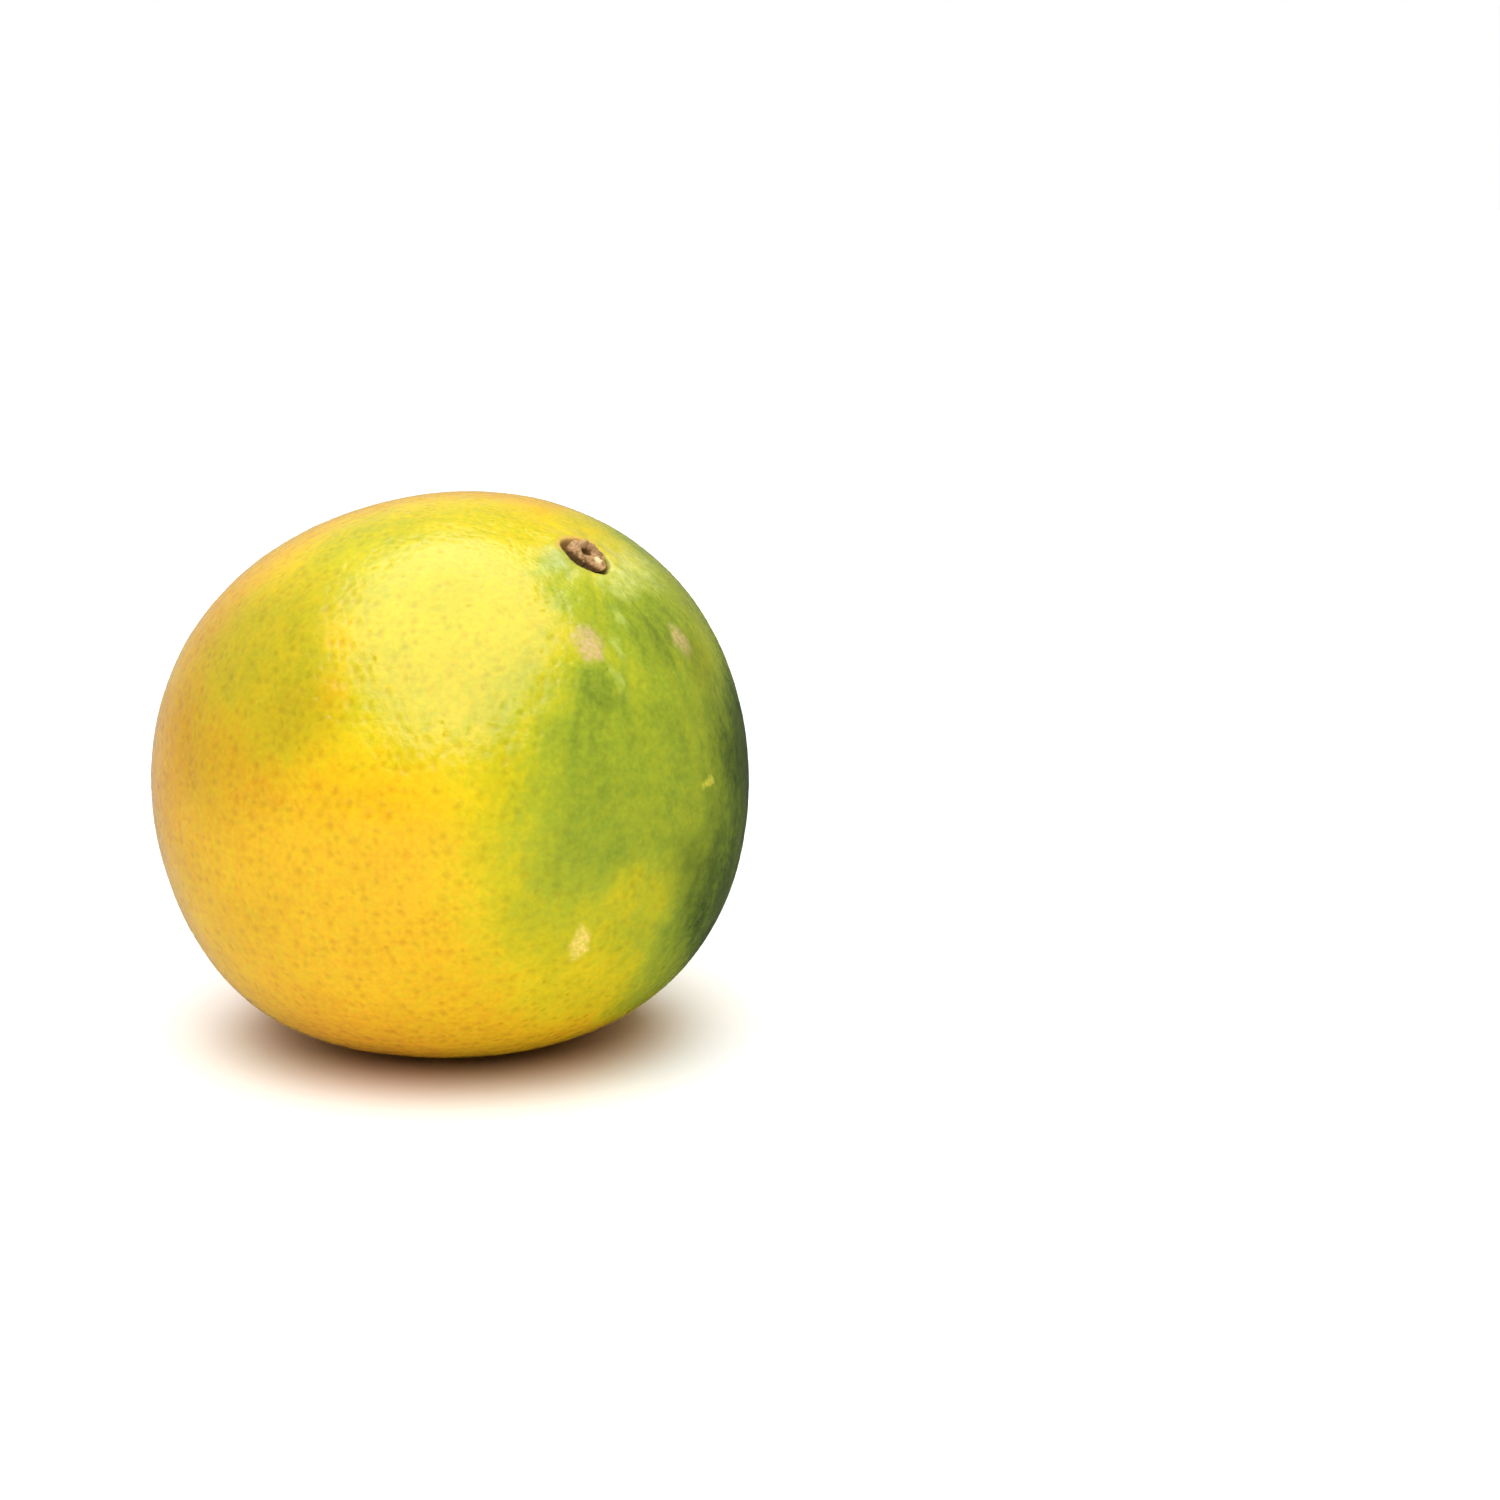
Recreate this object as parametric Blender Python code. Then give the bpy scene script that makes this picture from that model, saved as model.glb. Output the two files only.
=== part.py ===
"""An orange as picked: the fruit in its pored peel, and the dry stem button in the pit at its top.

Metres, +Z up. The fruit rests on a small flat spot at z = 0, under its middle, and its stem end leans
to the right and to the front.
"""

import math

import bmesh
import bpy
import numpy as np
from mathutils import Matrix, Vector

# Driving dimensions of the fruit.
RADIUS = 0.0384
STEM_AZIMUTH = -32.5
STEM_ELEVATION = 55.5
FLAT_SPOT_DEPTH = 0.00015
# Corners of the flat spot that lie closer together than this become one.
CORNER_MERGE = 0.0001

# Broad flats and swellings of the body: azimuth and elevation of the middle, share of the radius,
# and spread, all angles in degrees.
CROWN_FLAT = (141.0, 73.0, -0.080, 31.0)
REST_FLAT = (-90.0, -90.0, -0.099, 21.0)
LEFT_CHEEK = (-160.0, -47.0, 0.024, 16.0)
RIGHT_CHEEK = (-11.0, -31.0, 0.016, 17.5)
RIGHT_SIDE_FLAT = (0.0, 4.0, -0.023, 29.0)
FRONT_FLAT = (-95.0, 10.0, -0.012, 24.0)
BACK_FLAT = (75.0, 20.0, -0.022, 24.0)
BACK_CHEEK = (120.0, -38.0, 0.012, 20.0)
BODY_FORMS = (
    CROWN_FLAT,
    REST_FLAT,
    LEFT_CHEEK,
    RIGHT_CHEEK,
    RIGHT_SIDE_FLAT,
    FRONT_FLAT,
    BACK_FLAT,
    BACK_CHEEK,
)

# The stem end: a wide dip, a pit with a rounded lip, and shallow furrows that run out of it.
DIP_DEPTH = 0.0009
DIP_SPREAD = 0.0095
PIT_RADIUS = 0.00315
PIT_DEPTH = 0.0021
PIT_WALL = 0.0009
LIP_HEIGHT = 0.0003
LIP_SPREAD = 0.0013
# Waves round the pit's edge: how many, share of its radius, and phase.
PIT_WAVES = ((2, 0.06, 2.8), (5, 0.03, 1.9))
FURROWS = 9
FURROW_DEPTH = 0.00022
FURROW_SWAY = 0.8
FURROW_MIDDLE = 0.0075
FURROW_SPREAD = 0.0050

# The blossom end, opposite: a small round scar in a shallow dimple.
SCAR_DEPTH = 0.0007
SCAR_SPREAD = 0.0024

# The oil pores, larger than life. They crowd together towards the stem: PACKING says how many times more are
# added to an area at the stem, and over what distance that fades. None are sunk within the first FADE
# distance of the stem, in metres, or of the flat spot, in degrees, and all are full depth past the second.
PORES = 645
PORE_DEPTH = 0.00030
SLOPE_SHARE = 0.35
DEPTH_RANGE = (0.6, 1.4)
PORE_JITTER = 0.13
PORE_SEED = 7
PORE_PACKING = ((13.0, 0.0085), (45.0, 0.0030))
PIT_FADE = (0.0042, 0.0115)
REST_FADE = (10.0, 24.0)
GOLDEN_ANGLE = math.pi * (3.0 - math.sqrt(5.0))
POLAR_STEPS = 4000

# The stem button: a low lobed disc of dry wood, with its wall drawn in towards its foot. WAIST is the height
# where the wall starts to draw in, and FOOT the foot's radius, both as shares of the button's own.
BUTTON_RADIUS = 0.00260
BUTTON_HEIGHT = 0.0017
BUTTON_CLEARANCE = 0.0003
BUTTON_LOBES = 5
LOBE_DEPTH = 0.07
BUTTON_WAIST = 0.60
BUTTON_FOOT = 0.82
BUTTON_SIDES = 40
BUTTON_RINGS = 9
# Its top: a hollow where the stem broke off, a collar of wood round the back of the hollow, and a slope
# down in front of it. BEHIND is the direction from the front to the back of the button, the hollow's
# middle is at X, Y, and REACH is how gently the collar rises from its ends.
BEHIND = math.radians(20.0)
HOLLOW_X = 0.00055
HOLLOW_Y = 0.00060
HOLLOW_DEPTH = 0.0010
HOLLOW_SPREAD = 0.00050
COLLAR_HEIGHT = 0.0008
COLLAR_RADIUS = 0.00100
COLLAR_SPREAD = 0.00042
COLLAR_REACH = 0.0008
FRONT_SLOPE = 0.0005

# Edges that turn more than this are sharp.
SHARP_ANGLE = math.radians(40.0)

# Colour, roughness and metallic value of each material.
PEEL_FINISH = ((0.86, 0.52, 0.02, 1.0), 0.36, 0.0)
BUTTON_FINISH = ((0.24, 0.15, 0.07, 1.0), 0.85, 0.0)


def clear_scene():
    for obj in list(bpy.data.objects):
        bpy.data.objects.remove(obj, do_unlink=True)


def make_material(name, finish):
    colour, roughness, metallic = finish
    material = bpy.data.materials.new(name)
    material.use_nodes = True
    shader = material.node_tree.nodes["Principled BSDF"]
    shader.inputs["Base Color"].default_value = colour
    shader.inputs["Roughness"].default_value = roughness
    shader.inputs["Metallic"].default_value = metallic
    return material


def direction(azimuth, elevation):
    """The unit vector at this azimuth and elevation, in degrees."""
    turn = math.radians(azimuth)
    rise = math.radians(elevation)
    return np.array([math.cos(rise) * math.cos(turn), math.cos(rise) * math.sin(turn), math.sin(rise)])


def stem_axes():
    """Unit vectors out along the stem, and two across it."""
    stem = direction(STEM_AZIMUTH, STEM_ELEVATION)
    across = np.cross([0.0, 0.0, 1.0], stem)
    across /= np.linalg.norm(across)
    return across, np.cross(stem, across), stem


def angle_to(directions, middle):
    return np.arccos(np.clip(directions @ middle, -1.0, 1.0))


def smooth_step(values, low, high):
    share = np.clip((values - low) / (high - low), 0.0, 1.0)
    return share * share * (3.0 - 2.0 * share)


def hump(distance, spread):
    return np.exp(-0.5 * (distance / spread) ** 2)


def body_radius(directions):
    """The radius of the plain body: a ball with its broad flats and swellings."""
    share = np.ones(len(directions))
    for azimuth, elevation, height, spread in BODY_FORMS:
        away = angle_to(directions, direction(azimuth, elevation))
        share += height * hump(away, math.radians(spread))
    return RADIUS * share


def stem_end_height(directions):
    """How far the stem end stands over the plain body: a dip, a pit, its lip and the furrows."""
    across, along, stem = stem_axes()
    away = RADIUS * angle_to(directions, stem)
    turn = np.arctan2(directions @ along, directions @ across)
    wave = sum(share * np.cos(count * turn + phase) for count, share, phase in PIT_WAVES)
    edge = away / (1.0 + wave)
    dip = DIP_DEPTH * hump(away, DIP_SPREAD)
    pit = PIT_DEPTH * (1.0 - smooth_step(edge, PIT_RADIUS - PIT_WALL / 2, PIT_RADIUS + PIT_WALL / 2))
    lip = LIP_HEIGHT * hump(edge - PIT_RADIUS - PIT_WALL, LIP_SPREAD)
    groove = 0.5 + 0.5 * np.cos(FURROWS * turn + FURROW_SWAY * np.sin(2.0 * turn))
    furrow = FURROW_DEPTH * groove**2 * hump(away - FURROW_MIDDLE, FURROW_SPREAD)
    furrow *= smooth_step(edge, PIT_RADIUS, PIT_RADIUS + 2 * PIT_WALL)
    return lip - dip - pit - furrow


def blossom_end_height(directions):
    away = RADIUS * angle_to(directions, -stem_axes()[2])
    return -SCAR_DEPTH * hump(away, SCAR_SPREAD)


def pore_strength(directions):
    """1 on open peel, and 0 where the peel is smooth: in the pit and where the fruit rests."""
    from_stem = RADIUS * angle_to(directions, stem_axes()[2])
    from_rest = np.degrees(angle_to(directions, np.array([0.0, 0.0, -1.0])))
    return smooth_step(from_stem, *PIT_FADE) * smooth_step(from_rest, *REST_FADE)


def closeness(polar):
    """How many times more pores to an area there are at this angle from the stem."""
    return 1.0 + sum(times * hump(RADIUS * polar, reach) for times, reach in PORE_PACKING)


def pore_directions():
    """Pores spread by the golden angle round the stem, each a little off its place."""
    steps = np.linspace(0.0, math.pi, POLAR_STEPS)
    share = np.cumsum(closeness(steps) * np.sin(steps))
    order = np.arange(PORES)
    polar = np.interp((order + 0.5) / PORES * share[-1], share, steps)
    turn = GOLDEN_ANGLE * order
    across, along, stem = stem_axes()
    outward = np.outer(np.cos(turn), across) + np.outer(np.sin(turn), along)
    points = np.sin(polar)[:, None] * outward + np.cos(polar)[:, None] * stem
    spacing = np.sqrt(4.0 * math.pi / PORES / closeness(polar))
    shift = np.random.default_rng(PORE_SEED).normal(size=points.shape)
    points += PORE_JITTER * spacing[:, None] * shift
    return points / np.linalg.norm(points, axis=1)[:, None]


def split_cells(mesh):
    """Puts a point in the middle of each triangle, and turns the old edges to join the new points."""
    old_edges = list(mesh.edges)
    bmesh.ops.poke(mesh, faces=mesh.faces)
    bmesh.ops.rotate_edges(mesh, edges=old_edges, use_ccw=False)


def make_fruit():
    """A net on the unit ball, moved out to the peel's surface. Each pore is a cell of it: a low middle,
    a ring of points on its slope, and corners that stay on the surface."""
    mesh = bmesh.new()
    for point in pore_directions():
        mesh.verts.new(point)
    bmesh.ops.convex_hull(mesh, input=mesh.verts)
    split_cells(mesh)
    first_slope = len(mesh.verts)
    split_cells(mesh)
    directions = np.array([vert.co.normalized() for vert in mesh.verts])
    depth = np.zeros(len(directions))
    depth[:PORES] = PORE_DEPTH * np.random.default_rng(PORE_SEED + 1).uniform(*DEPTH_RANGE, PORES)
    depth[first_slope:] = PORE_DEPTH * SLOPE_SHARE
    radius = body_radius(directions) + stem_end_height(directions) + blossom_end_height(directions)
    radius -= depth * pore_strength(directions)
    for vert, point in zip(mesh.verts, directions * radius[:, None]):
        vert.co = point
    return mesh


def cut_flat_spot(mesh):
    """Cuts the bottom off level, closes it with one flat face, and gives the height of that face."""
    lowest = min(vert.co.z for vert in mesh.verts)
    floor = Vector((0.0, 0.0, lowest + FLAT_SPOT_DEPTH))
    everything = mesh.verts[:] + mesh.edges[:] + mesh.faces[:]
    bmesh.ops.bisect_plane(mesh, geom=everything, plane_co=floor, plane_no=(0.0, 0.0, 1.0), clear_inner=True)
    corners = [vert for vert in mesh.verts if vert.is_boundary]
    bmesh.ops.remove_doubles(mesh, verts=corners, dist=CORNER_MERGE)
    rim = [edge for edge in mesh.edges if edge.is_boundary]
    bmesh.ops.contextual_create(mesh, geom=rim)
    return floor.z


def add_object(name, mesh, material):
    bmesh.ops.recalc_face_normals(mesh, faces=mesh.faces)
    bmesh.ops.triangulate(mesh, faces=mesh.faces)
    data = bpy.data.meshes.new(name)
    mesh.to_mesh(data)
    mesh.free()
    data.shade_smooth()
    data.set_sharp_from_angle(angle=SHARP_ANGLE)
    data.materials.append(material)
    obj = bpy.data.objects.new(name, data)
    bpy.context.scene.collection.objects.link(obj)
    return obj


def button_top(x, y):
    """Height of the button's top over its rim, at this place on it."""
    behind = x * math.cos(BEHIND) + y * math.sin(BEHIND)
    past_hollow = (x - HOLLOW_X) * math.cos(BEHIND) + (y - HOLLOW_Y) * math.sin(BEHIND)
    from_hollow = math.hypot(x - HOLLOW_X, y - HOLLOW_Y)
    hollow = HOLLOW_DEPTH * hump(from_hollow, HOLLOW_SPREAD)
    collar = COLLAR_HEIGHT * hump(from_hollow - COLLAR_RADIUS, COLLAR_SPREAD)
    collar *= smooth_step(past_hollow, -COLLAR_REACH, COLLAR_REACH)
    slope = FRONT_SLOPE * smooth_step(-behind, 0.0, BUTTON_RADIUS)
    return float(collar - hollow - slope)


def button_ring(mesh, distance, height=None):
    """A ring of points at this share of the button's radius: at this height, or else on the top."""
    ring = []
    for side in range(BUTTON_SIDES):
        turn = 2.0 * math.pi * side / BUTTON_SIDES
        lobe = 1.0 - LOBE_DEPTH * (0.5 - 0.5 * math.cos(BUTTON_LOBES * turn))
        x = BUTTON_RADIUS * distance * lobe * math.cos(turn)
        y = BUTTON_RADIUS * distance * lobe * math.sin(turn)
        z = BUTTON_HEIGHT + button_top(x, y) if height is None else height
        ring.append(mesh.verts.new((x, y, z)))
    return ring


def make_stem_button():
    """The button in its own frame: its foot on z = 0, and +Z out along the stem."""
    mesh = bmesh.new()
    middle = mesh.verts.new((0.0, 0.0, BUTTON_HEIGHT + button_top(0.0, 0.0)))
    rings = [button_ring(mesh, ring / BUTTON_RINGS) for ring in range(1, BUTTON_RINGS + 1)]
    rings.append(button_ring(mesh, 1.0, BUTTON_WAIST * BUTTON_HEIGHT))
    rings.append(button_ring(mesh, BUTTON_FOOT, 0.0))
    for side in range(BUTTON_SIDES):
        after = (side + 1) % BUTTON_SIDES
        mesh.faces.new((middle, rings[0][side], rings[0][after]))
        for inner, outer in zip(rings, rings[1:]):
            mesh.faces.new((inner[side], outer[side], outer[after], inner[after]))
    mesh.faces.new(rings[-1][::-1])
    return mesh


def build():
    clear_scene()
    peel = make_material("peel", PEEL_FINISH)
    wood = make_material("stem_wood", BUTTON_FINISH)
    fruit_mesh = make_fruit()
    floor_height = cut_flat_spot(fruit_mesh)
    corners = np.array([vert.co for vert in fruit_mesh.verts])
    middle = (corners.min(axis=0) + corners.max(axis=0)) / 2
    shift = -Vector((middle[0], middle[1], floor_height))
    bmesh.ops.translate(fruit_mesh, verts=fruit_mesh.verts, vec=shift)
    add_object("fruit", fruit_mesh, peel)

    across, along, stem = stem_axes()
    pit_floor = (body_radius(stem[None, :]) + stem_end_height(stem[None, :]))[0]
    button = add_object("stem_button", make_stem_button(), wood)
    button.location = Vector(stem) * (pit_floor + BUTTON_CLEARANCE) + shift
    button.rotation_euler = Matrix((across, along, stem)).transposed().to_euler()


build()
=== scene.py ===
import math

import bmesh
import bpy
import numpy as np
from mathutils import Matrix, Vector, noise


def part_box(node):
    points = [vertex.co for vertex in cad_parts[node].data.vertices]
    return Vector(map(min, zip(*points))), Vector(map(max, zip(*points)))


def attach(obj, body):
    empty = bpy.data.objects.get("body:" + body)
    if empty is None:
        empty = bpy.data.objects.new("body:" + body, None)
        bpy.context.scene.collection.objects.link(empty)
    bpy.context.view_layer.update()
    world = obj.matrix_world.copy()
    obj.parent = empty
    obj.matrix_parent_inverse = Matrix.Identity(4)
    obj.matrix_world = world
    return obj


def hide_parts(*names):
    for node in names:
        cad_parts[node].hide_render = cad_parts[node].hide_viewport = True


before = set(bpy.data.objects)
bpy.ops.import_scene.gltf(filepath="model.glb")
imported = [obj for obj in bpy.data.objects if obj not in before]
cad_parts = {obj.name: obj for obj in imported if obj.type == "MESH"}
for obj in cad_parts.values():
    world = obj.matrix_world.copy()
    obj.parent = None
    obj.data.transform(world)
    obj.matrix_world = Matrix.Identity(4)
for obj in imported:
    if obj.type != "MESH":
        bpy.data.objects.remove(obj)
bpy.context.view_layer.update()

# The body of the fruit, as in the CAD model: metres, and angles in degrees.
RADIUS = 0.0384
STEM_AZIMUTH = -32.5
STEM_ELEVATION = 55.5
FLAT_SPOT_DEPTH = 0.00015

# Broad flats and swellings: azimuth and elevation of the middle, share of the radius, and spread.
BODY_FORMS = (
    (141.0, 73.0, -0.080, 31.0),
    (-90.0, -90.0, -0.099, 21.0),
    (-160.0, -47.0, 0.024, 16.0),
    (-11.0, -31.0, 0.016, 17.5),
    (0.0, 4.0, -0.023, 29.0),
    (-95.0, 10.0, -0.012, 24.0),
    (75.0, 20.0, -0.022, 24.0),
    (120.0, -38.0, 0.012, 20.0),
)

# The stem end and the blossom end, as in the CAD model, with the furrows at their real depth.
DIP_DEPTH = 0.0009
DIP_SPREAD = 0.0095
PIT_RADIUS = 0.00315
PIT_DEPTH = 0.0021
PIT_WALL = 0.0009
LIP_HEIGHT = 0.0003
LIP_SPREAD = 0.0013
PIT_WAVES = ((2, 0.06, 2.8), (5, 0.03, 1.9))
FURROWS = 9
FURROW_DEPTH = 0.00010
FURROW_SWAY = 0.8
FURROW_BENDS = 2.0
FURROW_MIDDLE = 0.0075
FURROW_SPREAD = 0.0050
BLOSSOM_DEPTH = 0.0007
BLOSSOM_SPREAD = 0.0024

# The oil pores at their real size. A pore's ring is the skin round its middle, which sinks with it.
PORES = 9500
PORE_DEPTH = 0.00010
RING_SHARE = 0.5
DEPTH_RANGE = (0.2, 1.5)
PORE_JITTER = 0.21
PORE_SEED = 7
PORE_PACKING = ((3.0, 0.0085), (9.0, 0.0030))
PIT_FADE = (0.0038, 0.0075)
REST_FADE = (10.0, 16.0)
GOLDEN_ANGLE = math.pi * (3.0 - math.sqrt(5.0))
POLAR_STEPS = 4000

# Slow swellings of the skin between the pores: length of the wave and its height, in metres.
SWELLS = ((0.0070, 0.00006), (0.0026, 0.00003))

# The stem button. It is a little wider and higher than in the CAD model, with its hollow further back, and
# has the broken wood: cracks that run out from the middle, a chip of pale wood and grain.
BUTTON_RADIUS = 0.00278
BUTTON_HEIGHT = 0.0020
BUTTON_CLEARANCE = 0.0003
BUTTON_LOBES = 5
LOBE_DEPTH = 0.07
BUTTON_WAIST = 0.95
BUTTON_FOOT = 0.76
BEHIND = math.radians(20.0)
HOLLOW_X = 0.00090
HOLLOW_Y = 0.00072
HOLLOW_DEPTH = 0.0010
HOLLOW_SPREAD = 0.00050
COLLAR_HEIGHT = 0.0008
COLLAR_RADIUS = 0.00100
COLLAR_SPREAD = 0.00042
COLLAR_REACH = 0.0008
FRONT_SLOPE = 0.0008
CHIP = (0.0009, -0.0012, 0.0)
CHIP_HEIGHT = 0.00025
CHIP_SPREAD = 0.00045
CRACKS = 17
CRACK_DEPTH = 0.00013
CRACK_SWAY = 2.0
CRACK_BENDS = 3.0
CRACK_SHARPNESS = 3
GRAIN_HEIGHT = 0.00022
GRAIN_SIZE = 0.0007
BUTTON_SIDES = 120
BUTTON_RINGS = 30
BUTTON_WALL_RINGS = 6

# The camera stands where the photograph was taken from. In a picture 1500 px wide the body's middle lies
# at this pixel, and its radius measures this many pixels.
PICTURE_PIXELS = 1500
BODY_PIXEL = (453.5, 771.6)
RADIUS_PIXELS = 302.5
CAMERA_ELEVATION = 14.0
CAMERA_DISTANCE = 0.60
SENSOR_WIDTH = 36.0

# The light: a large soft overhead panel, longer from front to back, and a dim room that is brighter at the
# back left. Where the peel mirrors the floor, the floor has painted shade, the more so on the right.
LIGHT_AZIMUTH = -87.0
LIGHT_ELEVATION = 75.0
LIGHT_DISTANCE = 2.4
LIGHT_HALF_WIDTH = 1.68
LIGHT_HALF_LENGTH = 3.3
LIGHT_RADIANCE = 3.45
ROOM_RADIANCE = 0.15
BACKDROP_RADIANCE = 0.45
BACKDROP_SIDE = (-0.85, 0.53, 0.0)
BACKDROP_FADE = (0.1, 0.7)
FLOOR_SIZE = 1.6
FLOOR_COLOURS = ((0.94, 0.935, 0.93, 1.0), (0.96, 0.955, 0.95, 1.0))
# Painted shade on the floor in the peel's reflections: how bright it stays on the left and on the right, and
# where it turns.
PAINTED_SHADE_IN_GLOSS = (0.32, 0.02)
PAINTED_SHADE_SIDES = (-0.03, 0.03)
FLOOR_CLOUD = ((3.0, 3.0), (0.3, 0.7))
FLOOR_ROUGHNESS = 0.6
# Close round the fruit's foot the camera, and nothing else, sees a painted contact shadow: a darker, warmer
# floor, as if the peel lit it.
PAINTED_CONTACT_SHADOW = (0.62, 0.40, 0.26, 1.0)
CONTACT_SHADOW_REACH = (0.013, 0.034)
CONTACT_SHADOW_SHARE = 0.85


def direction(azimuth, elevation):
    """The unit vector at this azimuth and elevation, in degrees."""
    turn = math.radians(azimuth)
    rise = math.radians(elevation)
    return np.array([math.cos(rise) * math.cos(turn), math.cos(rise) * math.sin(turn), math.sin(rise)])


def stem_axes():
    """Two unit vectors across the stem, and one out along it."""
    stem = direction(STEM_AZIMUTH, STEM_ELEVATION)
    across = np.cross([0.0, 0.0, 1.0], stem)
    across /= np.linalg.norm(across)
    return across, np.cross(stem, across), stem


def angle_to(directions, middle):
    """The angle from each unit vector to this one, in radians."""
    return np.arccos(np.clip(directions @ middle, -1.0, 1.0))


def smooth_step(values, low, high):
    """0 below low, 1 above high, and a smooth step between."""
    share = np.clip((values - low) / (high - low), 0.0, 1.0)
    return share * share * (3.0 - 2.0 * share)


def hump(distance, spread):
    """A bell curve: 1 in the middle, and almost 0 three spreads away."""
    return np.exp(-0.5 * (distance / spread) ** 2)


def body_radius(directions):
    """The plain body: a ball with broad flats and swellings."""
    share = np.ones(len(directions))
    for azimuth, elevation, height, spread in BODY_FORMS:
        away = angle_to(directions, direction(azimuth, elevation))
        share += height * hump(away, math.radians(spread))
    return RADIUS * share


def stem_end_height(directions):
    """How far the stem end stands over the plain body: a dip, a pit, its lip and the furrows."""
    across, along, stem = stem_axes()
    away = RADIUS * angle_to(directions, stem)
    turn = np.arctan2(directions @ along, directions @ across)
    wave = sum(share * np.cos(count * turn + phase) for count, share, phase in PIT_WAVES)
    edge = away / (1.0 + wave)
    dip = DIP_DEPTH * hump(away, DIP_SPREAD)
    pit = PIT_DEPTH * (1.0 - smooth_step(edge, PIT_RADIUS - PIT_WALL / 2, PIT_RADIUS + PIT_WALL / 2))
    lip = LIP_HEIGHT * hump(edge - PIT_RADIUS - PIT_WALL, LIP_SPREAD)
    groove = 0.5 + 0.5 * np.cos(FURROWS * turn + FURROW_SWAY * np.sin(FURROW_BENDS * turn))
    furrow = FURROW_DEPTH * groove**2 * hump(away - FURROW_MIDDLE, FURROW_SPREAD)
    furrow *= smooth_step(edge, PIT_RADIUS, PIT_RADIUS + 2 * PIT_WALL)
    return lip - dip - pit - furrow


def blossom_end_height(directions):
    """How far the blossom end stands over the plain body: a small dimple."""
    away = RADIUS * angle_to(directions, -stem_axes()[2])
    return -BLOSSOM_DEPTH * hump(away, BLOSSOM_SPREAD)


def pore_strength(directions):
    """1 on open peel, less where the pores are small, and 0 in the pit and where the fruit rests."""
    polar = angle_to(directions, stem_axes()[2])
    from_rest = np.degrees(angle_to(directions, np.array([0.0, 0.0, -1.0])))
    fade = smooth_step(RADIUS * polar, *PIT_FADE) * smooth_step(from_rest, *REST_FADE)
    return fade / np.sqrt(closeness(polar))


def closeness(polar):
    """How many times more pores to an area there are at this angle from the stem."""
    return 1.0 + sum(times * hump(RADIUS * polar, reach) for times, reach in PORE_PACKING)


def pore_directions():
    """Pores spread by the golden angle round the stem, each a little off its place."""
    steps = np.linspace(0.0, math.pi, POLAR_STEPS)
    share = np.cumsum(closeness(steps) * np.sin(steps))
    order = np.arange(PORES)
    polar = np.interp((order + 0.5) / PORES * share[-1], share, steps)
    turn = GOLDEN_ANGLE * order
    across, along, stem = stem_axes()
    outward = np.outer(np.cos(turn), across) + np.outer(np.sin(turn), along)
    points = np.sin(polar)[:, None] * outward + np.cos(polar)[:, None] * stem
    spacing = np.sqrt(4.0 * math.pi / PORES / closeness(polar))
    shift = np.random.default_rng(PORE_SEED).normal(size=points.shape)
    points += PORE_JITTER * spacing[:, None] * shift
    return points / np.linalg.norm(points, axis=1)[:, None]


def split_cells(mesh):
    """Puts a point in the middle of each triangle, and turns the old edges to join the new points."""
    old_edges = list(mesh.edges)
    bmesh.ops.poke(mesh, faces=mesh.faces)
    bmesh.ops.rotate_edges(mesh, edges=old_edges, use_ccw=False)


def pore_depths(mesh, first_ring):
    """How deep each point of the net lies in its pore: a share of its own in the middle, less on the ring
    round the middle, and 0 on the corners between pores."""
    depth = np.zeros(len(mesh.verts))
    depth[:PORES] = np.random.default_rng(PORE_SEED + 1).uniform(*DEPTH_RANGE, PORES)
    for vert in mesh.verts[first_ring:]:
        joined = [edge.other_vert(vert).index for edge in vert.link_edges]
        depth[vert.index] = RING_SHARE * sum(depth[index] for index in joined if index < PORES)
    return depth


def swell_height(directions):
    """How far the slow swellings raise the skin."""
    height = np.zeros(len(directions))
    for length, rise in SWELLS:
        height += rise * np.array([noise.noise(place) for place in directions * (RADIUS / length)])
    return height


def add_object(name, mesh):
    """Puts the mesh in the scene as a smooth object."""
    data = bpy.data.meshes.new(name)
    mesh.to_mesh(data)
    mesh.free()
    data.shade_smooth()
    obj = bpy.data.objects.new(name, data)
    bpy.context.scene.collection.objects.link(obj)
    return obj


def fit_to_box(points):
    """Stretches the surface by a hair to fill the box of the CAD fruit, and tells where its middle lands."""
    low, high = (np.array(corner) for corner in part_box("fruit"))
    first = points.min(axis=0)
    stretch = (high - low) / (points.max(axis=0) - first)
    return low + (points - first) * stretch, low - first * stretch


def make_peel():
    """The pored peel: a net on the unit ball, moved out to the surface. Each pore is a cell of it."""
    mesh = bmesh.new()
    for point in pore_directions():
        mesh.verts.new(point)
    bmesh.ops.convex_hull(mesh, input=mesh.verts)
    split_cells(mesh)
    first_ring = len(mesh.verts)
    split_cells(mesh)
    mesh.verts.ensure_lookup_table()
    mesh.verts.index_update()
    directions = np.array([vert.co.normalized() for vert in mesh.verts])
    pore = pore_depths(mesh, first_ring) * pore_strength(directions)
    radius = body_radius(directions) + stem_end_height(directions) + blossom_end_height(directions)
    radius += swell_height(directions) + scar_height(directions) - PORE_DEPTH * pore
    points = directions * radius[:, None]
    points[:, 2] = np.maximum(points[:, 2], points[:, 2].min() + FLAT_SPOT_DEPTH)
    points, centre = fit_to_box(points)
    for vert, point in zip(mesh.verts, points):
        vert.co = point
    bmesh.ops.recalc_face_normals(mesh, faces=mesh.faces)
    peel = add_object("pored_peel", mesh)
    layer = peel.data.attributes.new("pore", "FLOAT", "POINT")
    layer.data.foreach_set("value", pore.astype(np.float32))
    return peel, centre


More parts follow.
